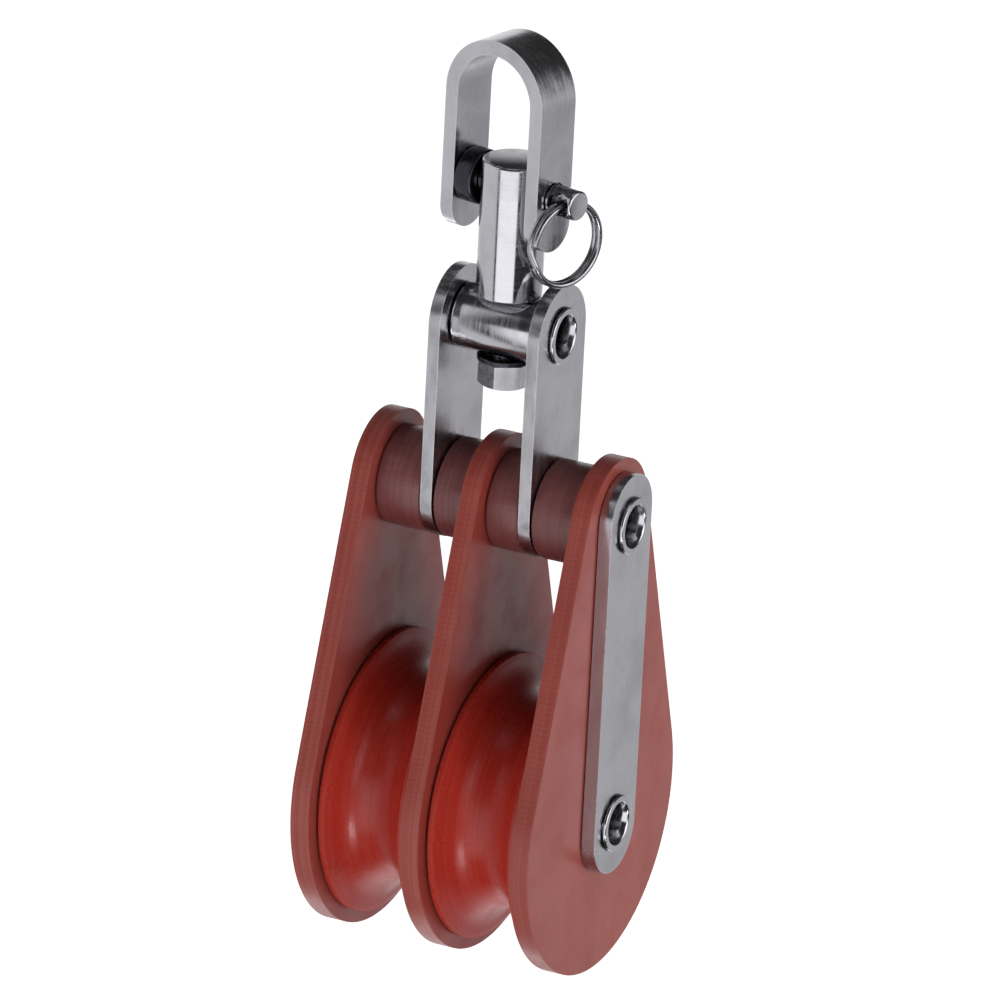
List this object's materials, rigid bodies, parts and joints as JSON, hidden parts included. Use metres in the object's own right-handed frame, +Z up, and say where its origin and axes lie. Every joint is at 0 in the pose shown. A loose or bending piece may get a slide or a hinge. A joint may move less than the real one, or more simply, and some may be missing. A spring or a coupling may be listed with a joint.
{
  "type": "double sheave block",
  "caption": "Pulley block with side-by-side sheaves between laminate cheeks, a swivelling fork head and a strip shackle with clevis pin.",
  "frame": {"origin": "on the swivel's axis, at the inside of the shackle's crown, where the block hangs", "axes": "+X along the sheave axle towards the right-hand cheek, -Y the front, +Z up"},
  "size_m": [0.0496, 0.0546, 0.1633],
  "materials": {
    "cheek_laminate": "woven resin laminate, satin",
    "turned_laminate": "turned resin laminate, smooth",
    "polished_plate": "polished stainless sheet",
    "turned_steel": "turned and polished stainless",
    "blackened_steel": "black oxide, oiled",
    "spring_wire": "bright drawn wire",
    "bronze": "plain bearing bronze"
  },
  "bodies": {
    "shackle": {"shackle_bow": "polished_plate"},
    "collar": {"pin_collar": "blackened_steel"},
    "pin": {"shackle_pin": "turned_steel"},
    "ring": {"split_ring": "spring_wire"},
    "swivel": {"swivel_post": "turned_steel", "swivel_bolt": "turned_steel", "swivel_washer": "blackened_steel"},
    "fork": {"swivel_barrel": "turned_steel", "fork_leg_left": "polished_plate", "fork_leg_right": "polished_plate"},
    "block": {"cheek_left": "cheek_laminate", "cheek_middle": "cheek_laminate", "cheek_right": "cheek_laminate", "strap_right": "polished_plate", "sheave_axle": "turned_steel", "head_pin": "turned_steel", "head_spacer_outer_left": "turned_laminate", "head_spacer_inner_left": "turned_laminate", "head_spacer_inner_right": "turned_laminate", "head_spacer_outer_right": "turned_laminate"},
    "left_sheave": {"sheave_left": "turned_laminate", "sheave_bush_left": "bronze"},
    "right_sheave": {"sheave_right": "turned_laminate", "sheave_bush_right": "bronze"}
  },
  "joints": [
    {"name": "pin_turn", "type": "hinge", "parent": "shackle", "child": "pin", "pos_m": [0, 0, -0.0236], "axis": [0.9781, -0.2079, 0], "continuous": true},
    {"name": "collar_turn", "type": "hinge", "parent": "shackle", "child": "collar", "pos_m": [0, 0, -0.0236], "axis": [0.9781, -0.2079, 0], "continuous": true},
    {"name": "ring_swing", "type": "hinge", "parent": "pin", "child": "ring", "pos_m": [0.01115, -0.00237, -0.0236], "axis": [-0.3746, -0.9272, 0], "range_deg": [0, 170]},
    {"name": "shackle_swing", "type": "hinge", "parent": "shackle", "child": "swivel", "pos_m": [0, 0, -0.0236], "axis": [0.9781, -0.2079, 0], "range_deg": [-120, 120]},
    {"name": "swivel_turn", "type": "hinge", "parent": "swivel", "child": "fork", "pos_m": [0, 0, -0.0482], "axis": [0, 0, 1], "continuous": true},
    {"name": "fork_swing", "type": "hinge", "parent": "fork", "child": "block", "pos_m": [0, 0, -0.0792], "axis": [1, 0, 0], "range_deg": [-115, 115]},
    {"name": "left_sheave_spin", "type": "hinge", "parent": "block", "child": "left_sheave", "pos_m": [-0.0105, 0, -0.1334], "axis": [1, 0, 0], "continuous": true},
    {"name": "right_sheave_spin", "type": "hinge", "parent": "block", "child": "right_sheave", "pos_m": [0.0105, 0, -0.1334], "axis": [1, 0, 0], "continuous": true}
  ]
}
